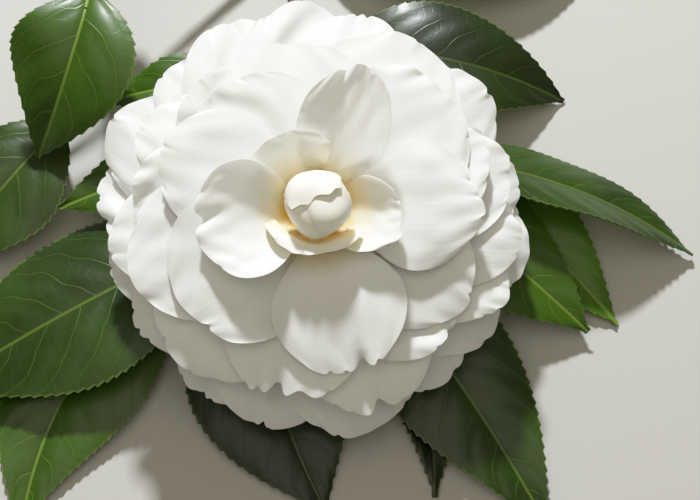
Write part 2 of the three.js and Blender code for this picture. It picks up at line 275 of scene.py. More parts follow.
def spread(values: np.ndarray, reach: int, combine: Callable[..., np.ndarray]) -> np.ndarray:
    """Replaces each value of a grid by what combine makes of those around it.

    Args:
        values: The grid.
        reach: How many cells count on each side.
        combine: A function of an array and its axis, such as a mean.

    Returns:
        The new grid.
    """
    for axis in (0, 1):
        padding = [(reach, reach) if axis == k else (0, 0) for k in (0, 1)]
        windows = np.lib.stride_tricks.sliding_window_view(
            np.pad(values, padding, mode="edge"), 2 * reach + 1, axis=axis
        )
        values = combine(windows, axis=-1)
    return values


def uv_grid(columns: int, rows: int) -> tuple[np.ndarray, np.ndarray]:
    """A blade's u, from -1 to 1 across, and v, from 0 to 1 along, at all its points."""
    return np.meshgrid(np.linspace(-1, 1, columns), np.linspace(0, 1, rows))


def blade(
    points: np.ndarray,
    marks: tuple[np.ndarray, np.ndarray, np.ndarray],
    thick: float,
    finishes: list[bpy.types.Material],
    fullness: np.ndarray | None = None,
) -> bpy.types.Object:
    """A closed blade from a grid primitive whose points are drawn into place.

    Args:
        points: Rows by columns by three, in millimetres.
        marks: What the finish reads: how far across, how far along and how near to the rim.
        thick: The thickness in millimetres.
        finishes: The upper side's finish, and the underside's where it has its own.
        fullness: How full of flesh each point is, from 0 at a thin rim to 1.

    Returns:
        The blade.
    """
    rows, columns = points.shape[:2]
    pick()
    bpy.ops.mesh.primitive_grid_add(x_subdivisions=columns - 1, y_subdivisions=rows - 1, size=1)
    sheet = bpy.context.object
    draw_points(sheet, points, np.stack(marks, axis=-1))
    for finish in finishes:
        sheet.data.materials.append(finish)
    wall = sheet.modifiers.new("wall", "SOLIDIFY")
    wall.thickness, wall.offset = thick * MM, 0.0
    wall.material_offset, wall.material_offset_rim = len(finishes) - 1, 0
    if fullness is not None:
        group = sheet.vertex_groups.new(name="flesh")
        for number, weight in enumerate(fullness.ravel()):
            group.add([number], float(weight), "REPLACE")
        wall.vertex_group, wall.thickness_vertex_group = group.name, THIN_RIM
    pick(sheet)
    bpy.ops.object.modifier_apply(modifier=wall.name)
    return sheet


# Finishes


@dataclass(frozen=True)
class PetalFlesh:
    """Living camellia petal, a soft waxy tissue that grew flat and was never coated.

    Light sinks into it and comes out warm, so its shade is never grey. Towards the heart a cream
    and gold glow is painted into its colour, standing in for light that shines through the
    petals and bounces between them. Its sheen is a broad satin one.
    """

    name: str
    white: str = "#f4f5f1"
    cream: str = "#f8ebc4"
    painted_glow_gold: str = "#f4c24e"
    painted_glow_from: float = 6.5
    painted_glow_to: float = 17.0
    wander: float = 4.0
    depth: float = 0.0018
    soft: float = 0.5

    def material(self, place: "BloomPlace") -> bpy.types.Material:
        """Makes the finish.

        Args:
            place: Where the bloom stands, which centres the painted golden glow.

        Returns:
            The material.
        """
        made, node, shader = start_finish(
            self.name,
            {
                "Roughness": 0.5,
                "IOR": 1.4,
                "Subsurface Weight": self.soft,
                "Subsurface Radius": (1.0, 0.96, 0.88),
                "Subsurface Scale": self.depth,
                "Sheen Weight": 0.1,
                "Sheen Roughness": 0.5,
            },
        )
        # The painted glow, gold and cream for light that shines through and between the petals, is
        # an egg round the heart whose rim wanders in and out
        spot = node("TexCoord").outputs["Object"]
        egg = {"Location": place.heart(), "Rotation": place.lean(), "Scale": (1.0, 1.0, 1.3)}
        inside = node("Mapping", {"vector_type": "TEXTURE"}, egg, {"Vector": spot})
        away = node("VectorMath", {"operation": "LENGTH"}, links={0: inside.outputs[0]})
        cloud = node("TexNoise", values={"Scale": 180.0, "Detail": 2.0}, links={"Vector": spot})
        distance = node(
            "Math",
            {"operation": "MULTIPLY_ADD"},
            {1: self.wander * MM},
            {0: cloud.outputs["Fac"], 2: away.outputs["Value"]},
        )
        share = node(
            "MapRange",
            values={
                "From Min": (self.painted_glow_from + self.wander / 2) * MM,
                "From Max": (self.painted_glow_to + self.wander / 2) * MM,
            },
            links={"Value": distance.outputs[0]},
        )
        # Painted glow: gold at the heart, then cream, then the petal's own white
        ramp = node("ValToRGB", links={"Fac": share.outputs["Result"]})
        colour_stops(ramp, [(0.0, self.painted_glow_gold), (0.35, self.cream), (1.0, self.white)])

        # Veins run out from the claw, about 0.9 mm apart, drawn a little bolder than life
        grain = node("Attribute", {"attribute_name": GRAIN}).outputs["Vector"]
        stretched = node("Mapping", values={"Scale": (1.1, 0.06, 0.0)}, links={"Vector": grain})
        veins = node(
            "TexNoise",
            values={"Scale": 1.0, "Detail": 2.0, "Roughness": 0.6},
            links={"Vector": stretched.outputs["Vector"]},
        )
        relief = node(
            "Bump",
            values={"Strength": 0.25, "Distance": 0.2 * MM},
            links={"Height": veins.outputs["Fac"]},
        )
        feed(shader, {"Base Color": ramp.outputs["Color"], "Normal": relief.outputs["Normal"]})
        return made


class LeafTone(Enum):
    """How dark a leaf is drawn: its blade, its paler half tone and its veins.

    The darkest tone is painted shade for leaves that lie in shadow, and the brightest is painted
    sunlight on a lit leaf. The two between are partly the leaf's own green and partly painted
    light and shade.
    """

    # Painted shade: the darkest tone, for leaves that lie in shadow
    DEEP = ("#111c02", "#1a2905", "#303f14")
    FULL = ("#1b2e02", "#274006", "#465b1c")
    FRESH = ("#2a4604", "#395a0b", "#5b7428")
    # Painted sunlight: the brightest tone, for a lit leaf
    BRIGHT = ("#3d620c", "#4c7414", "#6e8a36")


@dataclass(frozen=True)
class LeafCuticle:
    """Living camellia leaf with the hard waxy cuticle that it grew, which is smooth and glossy.

    The veins are sunk and paler, so the blade looks quilted, and the gloss breaks up on it.
    """

    tone: LeafTone
    # The rim's pale colour: partly the margin's own paler tissue, partly painted light catching
    # the edge
    pale_margin_and_glint: str = "#6f8240"

    def material(self) -> bpy.types.Material:
        """Makes the finish of the upper side.

        Returns:
            The material.
        """
        deep, light, vein = self.tone.value
        made, node, shader = start_finish(
            f"leaf_cuticle_{self.tone.name.lower()}",
            {"IOR": 1.4, "Coat Weight": 0.05, "Coat Roughness": 0.2},
        )
        spot = node("TexCoord").outputs["Object"]
        grain = node("Attribute", {"attribute_name": GRAIN}).outputs["Vector"]
        across, along, nearness = node("SeparateXYZ", links={"Vector": grain}).outputs
        wobble = node("TexNoise", values={"Scale": 120.0, "Detail": 1.0}, links={"Vector": spot})
        out = node("Math", {"operation": "ABSOLUTE"}, links={0: across}).outputs[0]
        right = node("Math", {"operation": "GREATER_THAN"}, {1: 0.0}, {0: across}).outputs[0]
        rim = node("Math", {"operation": "POWER"}, {1: 4.0}, {0: nearness}).outputs[0]
        # A side vein leaves the midrib at about 50 degrees and turns to the tip near the rim
        start = along
        for socket, factor in (
            (out, -VEIN_SLOPE),
            (rim, -VEIN_TURN),
            (right, 0.45 * VEIN_PITCH),
            (wobble.outputs["Fac"], 5.0),
        ):
            start = node(
                "Math", {"operation": "MULTIPLY_ADD"}, {1: factor}, {0: socket, 2: start}
            ).outputs[0]
        turns = node("Math", {"operation": "PINGPONG"}, {1: VEIN_PITCH / 2}, {0: start})
        # The net between the side veins has cells of about 4 mm
        scaled = node("Mapping", values={"Scale": (0.25, 0.25, 0.0)}, links={"Vector": grain})
        net = node(
            "TexVoronoi",
            {"feature": "DISTANCE_TO_EDGE", "voronoi_dimensions": "2D"},
            {"Scale": 1.0, "Randomness": 0.9},
            {"Vector": scaled.outputs["Vector"]},
        )
        # Each line fades out between two distances, and the thin rim with its teeth is pale:
        # partly the margin's own paler tissue and partly painted light catching the edge
        side_veins, midrib, net_lines, pale_margin_and_glint = (
            node(
                "MapRange",
                {"interpolation_type": "SMOOTHSTEP"},
                dict(zip(("From Min", "From Max", "To Min", "To Max"), ends)),
                {"Value": socket},
            ).outputs[0]
            for socket, ends in (
                (turns.outputs[0], (0.05, 0.35, 0.45, 0.0)),
                (out, (0.25, 0.7, 1.0, 0.0)),
                (net.outputs["Distance"], (0.0, 0.05, 0.12, 0.0)),
                (nearness, (0.965, 1.0, 0.0, 0.4)),
            )
        )
        lines = midrib
        for other in (side_veins, net_lines):
            lines = node("Math", {"operation": "MAXIMUM"}, links={0: lines, 1: other}).outputs[0]
        patches = node("TexNoise", values={"Scale": 45.0, "Detail": 3.0}, links={"Vector": spot})
        ground = node("ValToRGB", links={"Fac": patches.outputs["Fac"]})
        colour_stops(ground, [(0.35, deep), (0.65, light)])
        colour = ground.outputs["Color"]
        for code, amount in ((vein, lines), (self.pale_margin_and_glint, pale_margin_and_glint)):
            colour = node(
                "Mix", {"data_type": "RGBA"}, {7: linear(code)}, {0: amount, 6: colour}
            ).outputs[2]
        gloss = node(
            "MapRange",
            values={"To Min": 0.3, "To Max": 0.46},
            links={"Value": patches.outputs["Fac"]},
        )
        pillow = node("Math", {"operation": "SUBTRACT"}, {0: 1.0}, {1: lines})
        relief = node(
            "Bump",
            values={"Strength": 0.35, "Distance": 0.3 * MM},
            links={"Height": pillow.outputs[0]},
        )
        sockets = {"Base Color": colour, "Roughness": gloss.outputs[0]}
        feed(shader, sockets | {"Normal": relief.outputs["Normal"]})
        return made


@dataclass(frozen=True)
class PlainTissue:
    """Other living plant tissue: matt, with soft patches of two tones."""

    name: str
    dark: str
    light: str
    roughness: float
    patch: float

    def material(self) -> bpy.types.Material:
        """Makes the finish.

        Returns:
            The material.
        """
        made, node, shader = start_finish(self.name, {"Roughness": self.roughness, "IOR": 1.42})
        patches = node(
            "TexNoise",
            values={"Scale": 1 / (self.patch * MM), "Detail": 5.0, "Roughness": 0.6},
            links={"Vector": node("TexCoord").outputs["Object"]},
        )
        ramp = node("ValToRGB", links={"Fac": patches.outputs["Fac"]})
        colour_stops(ramp, [(0.3, self.dark), (0.7, self.light)])
        relief = node(
            "Bump",
            values={"Strength": 0.6, "Distance": 0.2 * MM},
            links={"Height": patches.outputs["Fac"]},
        )
        feed(shader, {"Base Color": ramp.outputs["Color"], "Normal": relief.outputs["Normal"]})
        return made


# The bloom


@dataclass(frozen=True)
class BloomPlace:
    """Where the bloom's own frame, with z along its axis, lies in the branch's frame."""

    foot: Point = (0.0, 0.0, 29.0)
    lean_down: float = 16.0
    lean_right: float = 3.0
    heart_height: float = 14.0
    edge: float = 0.5

    def lean(self) -> Point:
        """The lean, down first and then right.

        Returns:
            It as Euler angles.
        """
        down, right = math.radians(self.lean_down), math.radians(self.lean_right)
        turn = Matrix.Rotation(down, 3, "X") @ Matrix.Rotation(right, 3, "Y")
        return tuple(turn.to_euler("XYZ"))

    def place(self, points: np.ndarray) -> np.ndarray:
        """Takes points from the bloom's frame to the branch's."""
        return points @ np.array(Euler(self.lean(), "XYZ").to_matrix()).T + np.array(self.foot)

    def heart(self) -> Point:
        """The point that the painted golden glow surrounds, in metres in the frame."""
        middle = self.place(np.array([[0.0, 0.0, self.heart_height]]))[0]
        return tuple((middle - ORIGIN) * MM)

    def disc(
        self,
        radii: tuple[float, float],
        heights: tuple[float, float],
        finish: bpy.types.Material,
    ) -> bpy.types.Object:
        """A round piece about the bloom's axis with softened edges.

        Args:
            radii: The radii at its bottom and its top.
            heights: The heights of its bottom and its top.
            finish: Its finish.

        Returns:
            The piece.
        """
        pick()
        bpy.ops.mesh.primitive_cone_add(
            vertices=48,
            radius1=radii[0] * MM,
            radius2=radii[1] * MM,
            depth=(heights[1] - heights[0]) * MM,
            location=(0, 0, sum(heights) / 2 * MM),
        )
        piece = bpy.context.object
        settle_in_frame(piece)
        with shaping():
            bpy.ops.mesh.bevel(offset=self.edge * MM, segments=3)
        points = np.array([vertex.co for vertex in piece.data.vertices]) / MM
        draw_points(piece, self.place(points))
        piece.data.materials.append(finish)
        return piece


@dataclass(frozen=True)
class Petal:
    """One petal or sepal, in millimetres and degrees, in the bloom's own frame."""

    azimuth: float
    reach: float
    width: float
    foot: tuple[float, float]
    height: float
    launch: float
    end: float
    cup: float
    # Where across the notch is, and its depth
    notch: tuple[float, float] = (0.0, 0.0)
    ruffle: float = 0.0
    curl: float = 0.0
    # Where across each pleat is, how deep it cuts the rim and how deep it folds
    pleats: tuple[tuple[float, float, float], ...] = ()
    # The most pleats that chance adds
    creases: int = 0
    claw: float = 0.2
    seed: int = 0

    # The shares of the way at which it is widest and at which a curl starts
    WIDEST, CURL_FROM = 0.6, 0.45
    # The height of the low crumples and the depth of the rim's unevenness
    CRUMPLE, UNEVEN = 0.16, 0.35
    # Nearer to the axis than this, the flesh bends no tighter round it
    TIGHTEST = 9
    # Widths as shares of half the petal: a notch, a nick, and a pleat's valley, bay and banks
    NOTCH, NICK, VALLEY, BAY, BANK = 0.25, 0.05, 0.12, 0.15, 0.17
    # How far the banks stand from the valley, and how high, as a share of its depth
    BANK_AWAY, BANK_HIGH = 0.26, 0.25
    # How many waves run round the rim, each with its share of the ruffle
    WAVES = ((2, 1.0), (3, 0.9), (5, 0.5))
    # How many radians of crumples lie from the middle to a side, from broad ones to fine ones
    CRUMPLES = ((5, 8), (8, 13), (13, 18))

    def midline(self, share: np.ndarray) -> tuple[np.ndarray, np.ndarray]:
        """The midline as distance from the axis and height.

        Args:
            share: The shares of the way along it.

        Returns:
            The points and the unit directions, with two numbers each.
        """
        start, finish = np.array(self.foot), np.array([self.reach, self.height])
        handle = 0.4 * np.linalg.norm(finish - start)
        leaving, arriving = (
            np.array([math.cos(math.radians(a)), math.sin(math.radians(a))])
            for a in (self.launch, self.end)
        )
        a, b, c, d = start, start + leaving * handle, finish - arriving * handle, finish
        t = share[..., None]
        s = 1 - t
        points = s**3 * a + 3 * s * s * t * b + 3 * s * t * t * c + t**3 * d
        ways = s * s * (b - a) + 2 * s * t * (c - b) + t * t * (d - c)
        return points, ways / np.linalg.norm(ways, axis=-1, keepdims=True)

    def rim_cuts(
        self, u: np.ndarray, rim: np.ndarray, draw: random.Random
    ) -> tuple[np.ndarray, np.ndarray]:
        """The notch, the unevenness, the pleats and the nicks of the rim.

        Args:
            u: From -1 to 1 across.
            rim: From 0 at the widest place to 1 at the outer rim.
            draw: Where chance comes from.

        Returns:
            By which share of the way the rim draws in, and how high the flesh folds.
        """
        dip = self.notch[1] / self.reach * hump(u, self.notch[0], self.NOTCH) * rim**3
        uneven = sum(
            draw.uniform(-1, 1) * np.sin((k + 1.5) * u + draw.uniform(0, TURN))
            for k in range(1, 5)
        )
        dip = dip + self.ruffle * self.UNEVEN / self.reach * uneven * rim**2
        # Pleats are short valleys between low banks that start inside the rim and notch it
        pleats = list(self.pleats)
        for _ in range(draw.randint(0, self.creases)):
            spot = draw.uniform(-0.85, 0.85)
            cut, depth = (self.ruffle * draw.uniform(*ends) for ends in ((0.1, 0.6), (0.3, 1.1)))
            pleats.append((spot, cut, depth))
        fold = np.zeros_like(u)
        for spot, cut, depth in pleats:
            left, right = (hump(u, spot + side * self.BANK_AWAY, self.BANK) for side in (-1, 1))
            rise = self.BANK_HIGH * (left + right) - hump(u, spot, self.VALLEY)
            fold = fold + rim**2.5 * depth * rise
            dip = dip + cut / self.reach * hump(u, spot, self.BAY) * rim**3
        # Nicks are narrow and stay at the very rim
        nicks = random.Random(self.seed + 0.5)
        for _ in range(nicks.randint(2, 5)):
            nick = self.ruffle * hump(u, nicks.uniform(-0.9, 0.9), self.NICK) * rim**8
            dip = dip + nicks.uniform(0.3, 1.0) / self.reach * nick
            fold = fold + nicks.uniform(-0.5, 0.5) * nick
        return dip, fold

    def relief(
        self, u: np.ndarray, v: np.ndarray, rim: np.ndarray, draw: random.Random
    ) -> np.ndarray:
        """How far the flesh rises off its smooth shape.

        Args:
            u: From -1 to 1 across.
            v: From 0 to 1 along.
            rim: From 0 at the widest place to 1 at the outer rim.
            draw: Where chance comes from.

        Returns:
            The rises in millimetres.
        """
        # Soft waves that grow towards the rim, and a crease or ridge down the middle
        near = np.maximum(np.abs(u) ** 3, rim**2) * np.clip(v * 1.6 - 0.2, 0, 1)
        around = np.arctan2(u, rim + 0.25)
        waves = sum(
            draw.uniform(0.5, 1.0) * size * np.sin(k * around + draw.uniform(0, TURN))
            for k, size in self.WAVES
        )
        crease = draw.uniform(-1.0, 0.6) * hump(u, 0, 0.3) * np.sin(np.pi * v)
        broad = draw.uniform(-1, 1) * np.sin(2.2 * u + draw.uniform(0, TURN)) * np.sin(2.5 * v)
        # The thin flesh is never quite flat: low crumples, longest along the petal
        crumple = sum(
            draw.uniform(0.6, 1.0)
            * np.sin(draw.uniform(*span) * u + draw.uniform(-7, 7) * v + draw.uniform(0, TURN))
            * np.sin(draw.uniform(4, 13) * v + draw.uniform(-3, 3) * u + draw.uniform(0, TURN))
            for span in self.CRUMPLES
        )
        edge = np.maximum(rim, np.abs(u) * np.clip(v * 4 - 1, 0, 1))
        curled = np.clip((edge - self.CURL_FROM) / (1 - self.CURL_FROM), 0, 1) ** 2
        rise = self.ruffle * (0.7 * near * waves + 0.5 * crease + 0.6 * broad * v)
        return rise + self.CRUMPLE * crumple * v - self.curl * curled

    def surface(self, u: np.ndarray, v: np.ndarray) -> np.ndarray:
        """The middle surface: a sector of a cone round the axis, bent further by its cup.

        Args:
            u: From -1 to 1 across.
            v: From 0 to 1 along.

        Returns:
            The points.
        """
        draw = random.Random(self.seed)
        azimuth = math.radians(self.azimuth)
        away = np.array([math.cos(azimuth), math.sin(azimuth), 0])
        sideways = np.array([-away[1], away[0], 0])
        q = np.abs(2 * v - 1)
        outer = v > 0.5
        rim = np.where(outer, q, 0.0)
        dip, fold = self.rim_cuts(u, rim, draw)
        share = np.where(
            outer,
            self.WIDEST + (1 - self.WIDEST) * q * np.sqrt(1 - u * u / 2) - dip,
            self.WIDEST * (1 - q),
        )
        narrowed = self.claw + (1 - self.claw) * (0.5 + 0.5 * np.cos(np.pi * q))
        across = u * self.width / 2 * np.where(outer, np.sqrt(1 - q * q / 2), narrowed)
        on, way = self.midline(share)
        bend = way[..., 1] / np.maximum(on[..., 0], self.TIGHTEST) + 2 * self.cup / self.width
        flat = np.abs(bend) < 1e-4
        safe = np.where(flat, 1.0, bend)
        beside = np.where(flat, across, np.sin(across * safe) / safe)
        lift = np.where(flat, 0.0, (1 - np.cos(across * safe)) / safe)
        points = away * (on[..., 0] - way[..., 1] * lift)[..., None]
        points = points + sideways * beside[..., None]
        points[..., 2] = on[..., 1] + way[..., 0] * lift
        turned = (across * bend)[..., None]
        upright = UP * way[..., :1] - away * way[..., 1:]
        normals = upright * np.cos(turned) - sideways * np.sin(turned)
        return points + normals * (self.relief(u, v, rim, draw) + fold)[..., None]


@dataclass(frozen=True)
class Whorl:
    """One ring of petals that share a foot and a slope.

    Each petal is told by its azimuth, reach and width, and may carry values of its own.
    """

    name: str
    foot: tuple[float, float]
    height: float
    launch: float
    end: float
    cup: float
    ruffle: float
    creases: int
    petals: tuple[tuple[float | dict[str, object], ...], ...]

    def made(self) -> list[Petal]:
        """Makes the whorl's petals.

        Returns:
            The petals.
        """
        shared = ("foot", "height", "launch", "end", "cup", "ruffle", "creases")
        values = {name: getattr(self, name) for name in shared}
        seed = SEED * 1000 + int(self.height * 10) * 7
        return [
            Petal(*petal[:3], **values | {"seed": seed + number} | dict(*petal[3:]))
            for number, petal in enumerate(self.petals)
        ]


WHORLS = (
    Whorl(
        "petals_outermost", (6.0, 0.6), 0, 14, -26, -0.1, 1.0, 2,
        ((11, 53.3, 34), (-10, 55.8, 36), (-33, 54.6, 33), (-51, 53.9, 34), (-77, 57, 38),
         (-103, 55.5, 37), (-122, 53.5, 36), (-166, 53.5, 36), (144, 51.5, 34), (67, 50, 36)),
    ),
    Whorl(
        "petals_second", (6.2, 2.4), 5, 24, -19, -0.1, 1.0, 2,
        ((35, 53.6, 36), (75, 52.3, 35), (95, 53.8, 36), (117, 53.9, 35), (136, 51.5, 31),
         (158, 56, 32), (176, 54.7, 33), (-145, 52.4, 34)),
    ),
    Whorl(
        "petals_third", (6.2, 4.4), 11.5, 34, -8, 0, 1.0, 1,
        ((57, 49.7, 40), (13, 50, 32), (-8, 52, 29), (-23, 52, 29),
         (-70, 52.1, 36, {"pleats": ((-0.1, 3.0, 1.5),)}), (-131, 50.2, 38), (-170, 51, 30),
         (154, 47.6, 32)),
    ),
    Whorl(
        "petals_fourth", (5.8, 6.6), 15.5, 46, -3, 0, 1.0, 1,
        ((101, 41.6, 38), (41, 43.9, 38), (20, 44.6, 32), (-31, 43.5, 31), (-47, 45.2, 33),
         (-100, 48, 35, {"notch": (0.3, 3.0), "pleats": ((-0.15, 4.5, 1.2), (-0.45, 1.5, 0.6))}),
         (-161, 47.6, 36), (174, 44.9, 32), (132, 42.6, 34)),
    ),
    Whorl(
        "petals_fifth", (5.0, 9.0), 18.5, 58, -4, 0.05, 1.0, 0,
        ((2, 40, 32, {"ruffle": 1.4}), (-77, 40.8, 33, {"pleats": ((0.2, 2.4, 1.2),)}),
         (-142, 40, 38), (159, 39.8, 31), (131, 37.5, 36)),
    ),
    Whorl(
        "petals_inner", (3.8, 11.4), 24, 68, 5, 0.3, 0.8, 0,
        ((-168, 29.3, 31, {"height": 23, "cup": 0.5, "pleats": ((-0.2, 2.2, 1.8),)}),
         (132, 18.8, 28, {"height": 27, "launch": 60, "end": 62, "cup": 0.4, "curl": 0.8}),
         (71.5, 34, 23.5, {"height": 30, "end": 30, "pleats": ((0.4, 1.4, 0.9),)})),
    ),
    Whorl(
        "petals_heart", (2.6, 14.0), 27, 30, 60, 0.4, 0.4, 0,
        ((-96, 9.4, 22.5, {"height": 27.5, "launch": 10, "end": 86, "cup": -0.3, "claw": 0.5,
                           "curl": 2.6}),
         (-9, 20.3, 21, {"height": 25, "launch": 22, "end": 40, "claw": 0.7,
                         "notch": (-0.65, -2.0)})),
    ),
)


@dataclass
class Bloom:
    """The bloom's petals, laid from the heart out, each under those already laid."""

    place: BloomPlace
    whorls: tuple[Whorl, ...] = WHORLS
    thick: float = 0.4
    fleshy: float = 0.25
    gap: float = 1.0
    grid: tuple[int, int] = (57, 57)
    # Between these distances from the axis a petal starts to give way to those above it
    fade: tuple[float, float] = (7.0, 14.0)
    bud_foot: float = 15.6
    collar_edge: float = 0.6
    collar_drop: float = 0.8
    joint: float = 0.3
    laid: list[tuple[BVHTree, np.ndarray, np.ndarray]] = field(default_factory=list)

    def sinks(self, points: np.ndarray) -> np.ndarray:
        """How far each point of a petal has to sink to lie under the petals already laid.

        Args:
            points: The petal's grid in the bloom's frame.

        Returns:
            The sinks in millimetres.
        """
        depth = 100.0
        lowest = np.full(points.shape[:2], np.inf)
        flat = points.reshape(-1, 3)
        for tree, low, high in self.laid:
            near = np.all((flat[:, :2] >= low) & (flat[:, :2] <= high), axis=1)
            for k in np.flatnonzero(near):
                row, column = divmod(int(k), points.shape[1])
                hit = tree.ray_cast(Vector((flat[k, 0], flat[k, 1], -depth)), Vector((0, 0, 1)))
                if hit[0] is not None:
                    lowest[row, column] = min(lowest[row, column], hit[0].z)
        over = np.where(np.isfinite(lowest), points[..., 2] + self.gap - lowest, 0.0)
        start, end = self.fade
        share = (np.hypot(points[..., 0], points[..., 1]) - start) / (end - start)
        share = np.clip(share, 0, 1)
        return np.maximum(over, 0) * share * share * (3 - 2 * share)

    def lay(self, points: np.ndarray) -> np.ndarray:
        """Lays one petal under those already laid.

        Args:
            points: The petal's grid in the bloom's frame.

        Returns:
            The grid where it comes to lie.
        """
        sinks = spread(self.sinks(points), 4, np.max)
        sinks = spread(spread(sinks, 2, np.mean), 2, np.mean)
        points[..., 2] -= sinks
        rows, columns = points.shape[:2]
        corner = (np.arange(rows - 1)[:, None] * columns + np.arange(columns - 1)).ravel()
        faces = np.stack([corner, corner + 1, corner + columns + 1, corner + columns], axis=1)
        flat = points.reshape(-1, 3)
        tree = BVHTree.FromPolygons(flat.tolist(), faces.tolist())
        self.laid.append((tree, flat[:, :2].min(axis=0), flat[:, :2].max(axis=0)))
        return points

    def petal_piece(self, petal: Petal, finish: bpy.types.Material) -> bpy.types.Object:
        """Makes one petal.

        Args:
            petal: The petal.
            finish: Its finish.

        Returns:
            The petal as a closed blade.
        """
        u, v = uv_grid(*self.grid)
        points = self.lay(petal.surface(u, v))
        # The azimuth shifts the grain, so that no two petals show the same veins
        marks = (u * petal.width / 2 + petal.azimuth, v * petal.reach, np.abs(u))
        rim = np.maximum(np.abs(u), np.abs(2 * v - 1) * (v > 0.5))
        fullness = np.clip((1 - rim) / self.fleshy, 0, 1)
        return blade(self.place.place(points), marks, self.thick, [finish], fullness)

    def build(self, flesh: bpy.types.Material, heart_flesh: bpy.types.Material) -> None:
        """Makes every whorl and hands it over.

        Args:
            flesh: The finish of the petals.
            heart_flesh: The finish of the petals round the bud.
        """
        above = self.bud_foot
        for whorl in reversed(self.whorls):
            in_heart = whorl.name == "petals_heart"
            finish = heart_flesh if in_heart else flesh
            parts = [self.petal_piece(petal, finish) for petal in whorl.made()]
            # The collar that the claws grow from reaches up to the one above it
            radius, low = whorl.foot[0] + self.collar_edge, whorl.foot[1] - self.collar_drop
            parts.append(self.place.disc((radius, radius), (low, above - self.joint), finish))
            above = low
            piece = joined(parts, f"{whorl.name}_laid")
            hand_over(piece, whorl.name)


@dataclass(frozen=True)
class Wrap:
    """One petal closed over the bud, in degrees and millimetres.

    It climbs from low on one side of the bud over its top, and spreads to either side.
    """

    azimuth: float
    half: float
    low: float
    high: float
    out: float
    tuck: float = 0.3
    open: float = 0.0
    wave: float = 0.0
    seed: int = 0


@dataclass
class Bud:
    """The bud at the heart: an ovoid on a neck with petals wrapped round it."""

    place: BloomPlace
    foot: float = 15.6
    middle: float = 25.0
    radius: float = 7.0
    half_height: float = 5.2
    flatness: float = 3.0
    neck: float = 2.6
    neck_from: float = 0.75
    thick: float = 0.45
    fleshy: float = 0.2
    dent: float = 0.45
    grain: tuple[float, float] = (9, 16)
    wraps: tuple[Wrap, ...] = (
        Wrap(20, 62, -50, 95, 0.1, wave=5, seed=9),
        Wrap(-140, 62, -50, 100, 0.35, wave=4, seed=5),
        Wrap(-42, 56, -55, 108, 0.7, wave=4, seed=3),
        Wrap(112, 56, -40, 88, 1.05, tuck=-0.15, open=0.45, wave=5.5, seed=6),
    )

    def wrapped(self, petal: Wrap, u: np.ndarray, v: np.ndarray) -> np.ndarray:
        """The middle surface of one wrapped petal.

        Args:
            petal: The petal.
            u: From -1 to 1 across.
            v: From 0 to 1 along.

        Returns:
            The points in the bloom's frame.
        """
        draw = random.Random(petal.seed)
        phases = [draw.uniform(0, TURN) for _ in range(4)]
        azimuth = math.radians(petal.azimuth)
        away = np.array([math.cos(azimuth), math.sin(azimuth), 0])
        sideways = np.array([-away[1], away[0], 0])
        # The edge is ragged in degrees, and the petal is dented in millimetres
        ragged = np.sin(2.6 * u + phases[0]) + 0.5 * np.sin(8 * u + phases[1])
        ragged = petal.wave * (ragged + 0.1 * np.sin(14 * u + phases[2])) * v
        climb = np.radians(petal.low + (petal.high - petal.low - 10 * u * u + ragged) * v)
        outline = np.sin(np.pi * np.clip(0.2 + 0.62 * v, 0, 1)) ** 0.5
        aside = np.radians(petal.half * u * outline)
        dent = self.dent * np.sin(4 * u + phases[2]) * np.sin(5 * v + phases[3])
        stand = petal.out + petal.tuck * u + dent + petal.open * v**6
        out, up = np.cos(aside) * np.cos(climb), np.cos(aside) * np.sin(climb)
        beside = np.sin(aside)
        power = self.flatness
        square = (np.hypot(out, beside) ** power + np.abs(up) ** power) ** (-1 / power)
        ring = (self.radius + stand) * square
        points = away * (ring * out)[..., None] + sideways * (ring * beside)[..., None]
        points[..., 2] = self.middle + (self.half_height + stand) * square * up
        return points

    def build(self, finish: bpy.types.Material) -> None:
        """Makes the bud and hands it over.

        Args:
            finish: Its finish.
        """
        pick()
        bpy.ops.mesh.primitive_uv_sphere_add(segments=48, ring_count=32, radius=self.radius)
        core = bpy.context.object
        points = np.array([vertex.co for vertex in core.data.vertices])
        points = points * [1, 1, self.half_height / self.radius] + [0, 0, self.middle]
        # The lowest rings are drawn down into the neck
        below = points[:, 2] < self.middle - self.neck_from * self.half_height
        points[below, 2] = self.foot
        rings = np.hypot(*points[below, :2].T)
        points[below, :2] *= (self.neck / np.maximum(rings, self.neck))[:, None]
        draw_points(core, self.place.place(points))
        core.data.materials.append(finish)
        parts = [core]
        u, v = uv_grid(65, 49)
        fullness = np.clip((1 - np.maximum(np.abs(u), v)) / self.fleshy, 0, 1)
        marks = (u * self.grain[0], v * self.grain[1], np.abs(u))
        for wrap in self.wraps:
            points = self.place.place(self.wrapped(wrap, u, v))
            parts.append(blade(points, marks, self.thick, [finish], fullness))
        hand_over(joined(parts, "bud_wrapped"), "bloom_bud")


@dataclass
class Calyx:
    """The receptacle under the petals and the ring of sepals that holds it."""

    place: BloomPlace
    bottom: float = -6.5
    radius: float = 3.6
    top: float = -0.5
    top_radius: float = 5.4
    sepals: int = 5
    first: float = 20
    thick: float = 0.9

    def build(self, finish: bpy.types.Material) -> None:
        """Makes the calyx and hands it over.

        Args:
            finish: Its finish.
        """
        radii, heights = (self.radius, self.top_radius), (self.bottom, self.top)
        parts = [self.place.disc(radii, heights, finish)]
        u, v = uv_grid(21, 23)
        for number in range(self.sepals):
            sepal = Petal(
                azimuth=360 * number / self.sepals + self.first,
                reach=13.5,
                width=15,
                foot=(2.2, -5.0),
                height=-3.0,
                launch=0,
                end=22,
                cup=0.2,
                ruffle=0.2,
                seed=SEED + number,
            )
            marks = (u * sepal.width / 2, v * sepal.reach, np.abs(u))
            points = self.place.place(sepal.surface(u, v))
            parts.append(blade(points, marks, self.thick, [finish]))
        hand_over(joined(parts, "calyx_sepals"), "calyx")


# The wood and the leaves


